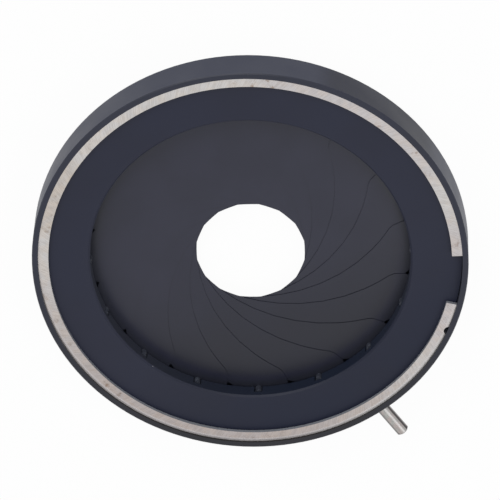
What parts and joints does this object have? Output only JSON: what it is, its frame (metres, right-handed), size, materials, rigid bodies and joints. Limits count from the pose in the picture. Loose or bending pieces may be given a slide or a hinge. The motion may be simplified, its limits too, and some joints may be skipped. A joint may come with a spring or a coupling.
{
  "type": "iris diaphragm",
  "caption": "Disc iris diaphragm: thin curved leaves in a flat round cup, opened and closed by a slotted ring with a radial lever, held by a snap ring.",
  "frame": {"origin": "on the optical axis, on the rear face of the housing", "axes": "+Z along the optical axis from the rear face to the snap ring; +X towards the gap in the snap ring; with the leaves as drawn the lever points 54 degrees clockwise of +X"},
  "size_m": [0.07, 0.07, 0.0062],
  "materials": {
    "housing": "black anodised aluminium, satin",
    "drive_ring": "black anodised, matt",
    "leaf": "blackened spring steel, matt",
    "snap_ring": "bare spring steel, satin and lightly mottled",
    "lever": "bare turned steel, bright",
    "pins": "blackened steel pins, worn at the ends"
  },
  "bodies": {
    "housing": {"housing": "housing", "snap_ring": "snap_ring"},
    "drive_ring": {"drive_ring": "drive_ring", "lever_pin": "lever"},
    "leaf_01": {"leaf_01": "leaf", "pivot_pin_01": "pins", "drive_pin_01": "pins"},
    "leaf_02": {"leaf_02": "leaf", "pivot_pin_02": "pins", "drive_pin_02": "pins"},
    "leaf_03": {"leaf_03": "leaf", "pivot_pin_03": "pins", "drive_pin_03": "pins"},
    "leaf_04": {"leaf_04": "leaf", "pivot_pin_04": "pins", "drive_pin_04": "pins"},
    "leaf_05": {"leaf_05": "leaf", "pivot_pin_05": "pins", "drive_pin_05": "pins"},
    "leaf_06": {"leaf_06": "leaf", "pivot_pin_06": "pins", "drive_pin_06": "pins"},
    "leaf_07": {"leaf_07": "leaf", "pivot_pin_07": "pins", "drive_pin_07": "pins"},
    "leaf_08": {"leaf_08": "leaf", "pivot_pin_08": "pins", "drive_pin_08": "pins"},
    "leaf_09": {"leaf_09": "leaf", "pivot_pin_09": "pins", "drive_pin_09": "pins"},
    "leaf_10": {"leaf_10": "leaf", "pivot_pin_10": "pins", "drive_pin_10": "pins"},
    "leaf_11": {"leaf_11": "leaf", "pivot_pin_11": "pins", "drive_pin_11": "pins"},
    "leaf_12": {"leaf_12": "leaf", "pivot_pin_12": "pins", "drive_pin_12": "pins"},
    "leaf_13": {"leaf_13": "leaf", "pivot_pin_13": "pins", "drive_pin_13": "pins"},
    "leaf_14": {"leaf_14": "leaf", "pivot_pin_14": "pins", "drive_pin_14": "pins"},
    "leaf_15": {"leaf_15": "leaf", "pivot_pin_15": "pins", "drive_pin_15": "pins"},
    "leaf_16": {"leaf_16": "leaf", "pivot_pin_16": "pins", "drive_pin_16": "pins"}
  },
  "joints": [
    {"name": "ring_turn", "type": "hinge", "parent": "housing", "child": "drive_ring", "pos_m": [0, 0, 0.0036], "axis": [0, 0, 1], "range_deg": [-69.86, 32.14]},
    {"name": "leaf_turn_01", "type": "hinge", "parent": "housing", "child": "leaf_01", "pos_m": [0.03002, 0.00329, 0.0009], "axis": [0, 0, 1], "range_deg": [-32.51, 14.96]},
    {"name": "leaf_turn_02", "type": "hinge", "parent": "housing", "child": "leaf_02", "pos_m": [0.02648, 0.01453, 0.0009], "axis": [0, 0, 1], "range_deg": [-32.51, 14.96]},
    {"name": "leaf_turn_03", "type": "hinge", "parent": "housing", "child": "leaf_03", "pos_m": [0.0189, 0.02355, 0.0009], "axis": [0, 0, 1], "range_deg": [-32.51, 14.96]},
    {"name": "leaf_turn_04", "type": "hinge", "parent": "housing", "child": "leaf_04", "pos_m": [0.00845, 0.02899, 0.0009], "axis": [0, 0, 1], "range_deg": [-32.51, 14.96]},
    {"name": "leaf_turn_05", "type": "hinge", "parent": "housing", "child": "leaf_05", "pos_m": [-0.00329, 0.03002, 0.0009], "axis": [0, 0, 1], "range_deg": [-32.51, 14.96]},
    {"name": "leaf_turn_06", "type": "hinge", "parent": "housing", "child": "leaf_06", "pos_m": [-0.01453, 0.02648, 0.0009], "axis": [0, 0, 1], "range_deg": [-32.51, 14.96]},
    {"name": "leaf_turn_07", "type": "hinge", "parent": "housing", "child": "leaf_07", "pos_m": [-0.02355, 0.0189, 0.0009], "axis": [0, 0, 1], "range_deg": [-32.51, 14.96]},
    {"name": "leaf_turn_08", "type": "hinge", "parent": "housing", "child": "leaf_08", "pos_m": [-0.02899, 0.00845, 0.0009], "axis": [0, 0, 1], "range_deg": [-32.51, 14.96]},
    {"name": "leaf_turn_09", "type": "hinge", "parent": "housing", "child": "leaf_09", "pos_m": [-0.03002, -0.00329, 0.0009], "axis": [0, 0, 1], "range_deg": [-32.51, 14.96]},
    {"name": "leaf_turn_10", "type": "hinge", "parent": "housing", "child": "leaf_10", "pos_m": [-0.02648, -0.01453, 0.0009], "axis": [0, 0, 1], "range_deg": [-32.51, 14.96]},
    {"name": "leaf_turn_11", "type": "hinge", "parent": "housing", "child": "leaf_11", "pos_m": [-0.0189, -0.02355, 0.0009], "axis": [0, 0, 1], "range_deg": [-32.51, 14.96]},
    {"name": "leaf_turn_12", "type": "hinge", "parent": "housing", "child": "leaf_12", "pos_m": [-0.00845, -0.02899, 0.0009], "axis": [0, 0, 1], "range_deg": [-32.51, 14.96]},
    {"name": "leaf_turn_13", "type": "hinge", "parent": "housing", "child": "leaf_13", "pos_m": [0.00329, -0.03002, 0.0009], "axis": [0, 0, 1], "range_deg": [-32.51, 14.96]},
    {"name": "leaf_turn_14", "type": "hinge", "parent": "housing", "child": "leaf_14", "pos_m": [0.01453, -0.02648, 0.0009], "axis": [0, 0, 1], "range_deg": [-32.51, 14.96]},
    {"name": "leaf_turn_15", "type": "hinge", "parent": "housing", "child": "leaf_15", "pos_m": [0.02355, -0.0189, 0.0009], "axis": [0, 0, 1], "range_deg": [-32.51, 14.96]},
    {"name": "leaf_turn_16", "type": "hinge", "parent": "housing", "child": "leaf_16", "pos_m": [0.02899, -0.00845, 0.0009], "axis": [0, 0, 1], "range_deg": [-32.51, 14.96]}
  ],
  "couplings": [
    {"joint": "leaf_turn_01", "follows": "ring_turn", "ratio": 0.46512},
    {"joint": "leaf_turn_02", "follows": "ring_turn", "ratio": 0.46512},
    {"joint": "leaf_turn_03", "follows": "ring_turn", "ratio": 0.46512},
    {"joint": "leaf_turn_04", "follows": "ring_turn", "ratio": 0.46512},
    {"joint": "leaf_turn_05", "follows": "ring_turn", "ratio": 0.46512},
    {"joint": "leaf_turn_06", "follows": "ring_turn", "ratio": 0.46512},
    {"joint": "leaf_turn_07", "follows": "ring_turn", "ratio": 0.46512},
    {"joint": "leaf_turn_08", "follows": "ring_turn", "ratio": 0.46512},
    {"joint": "leaf_turn_09", "follows": "ring_turn", "ratio": 0.46512},
    {"joint": "leaf_turn_10", "follows": "ring_turn", "ratio": 0.46512},
    {"joint": "leaf_turn_11", "follows": "ring_turn", "ratio": 0.46512},
    {"joint": "leaf_turn_12", "follows": "ring_turn", "ratio": 0.46512},
    {"joint": "leaf_turn_13", "follows": "ring_turn", "ratio": 0.46512},
    {"joint": "leaf_turn_14", "follows": "ring_turn", "ratio": 0.46512},
    {"joint": "leaf_turn_15", "follows": "ring_turn", "ratio": 0.46512},
    {"joint": "leaf_turn_16", "follows": "ring_turn", "ratio": 0.46512}
  ]
}
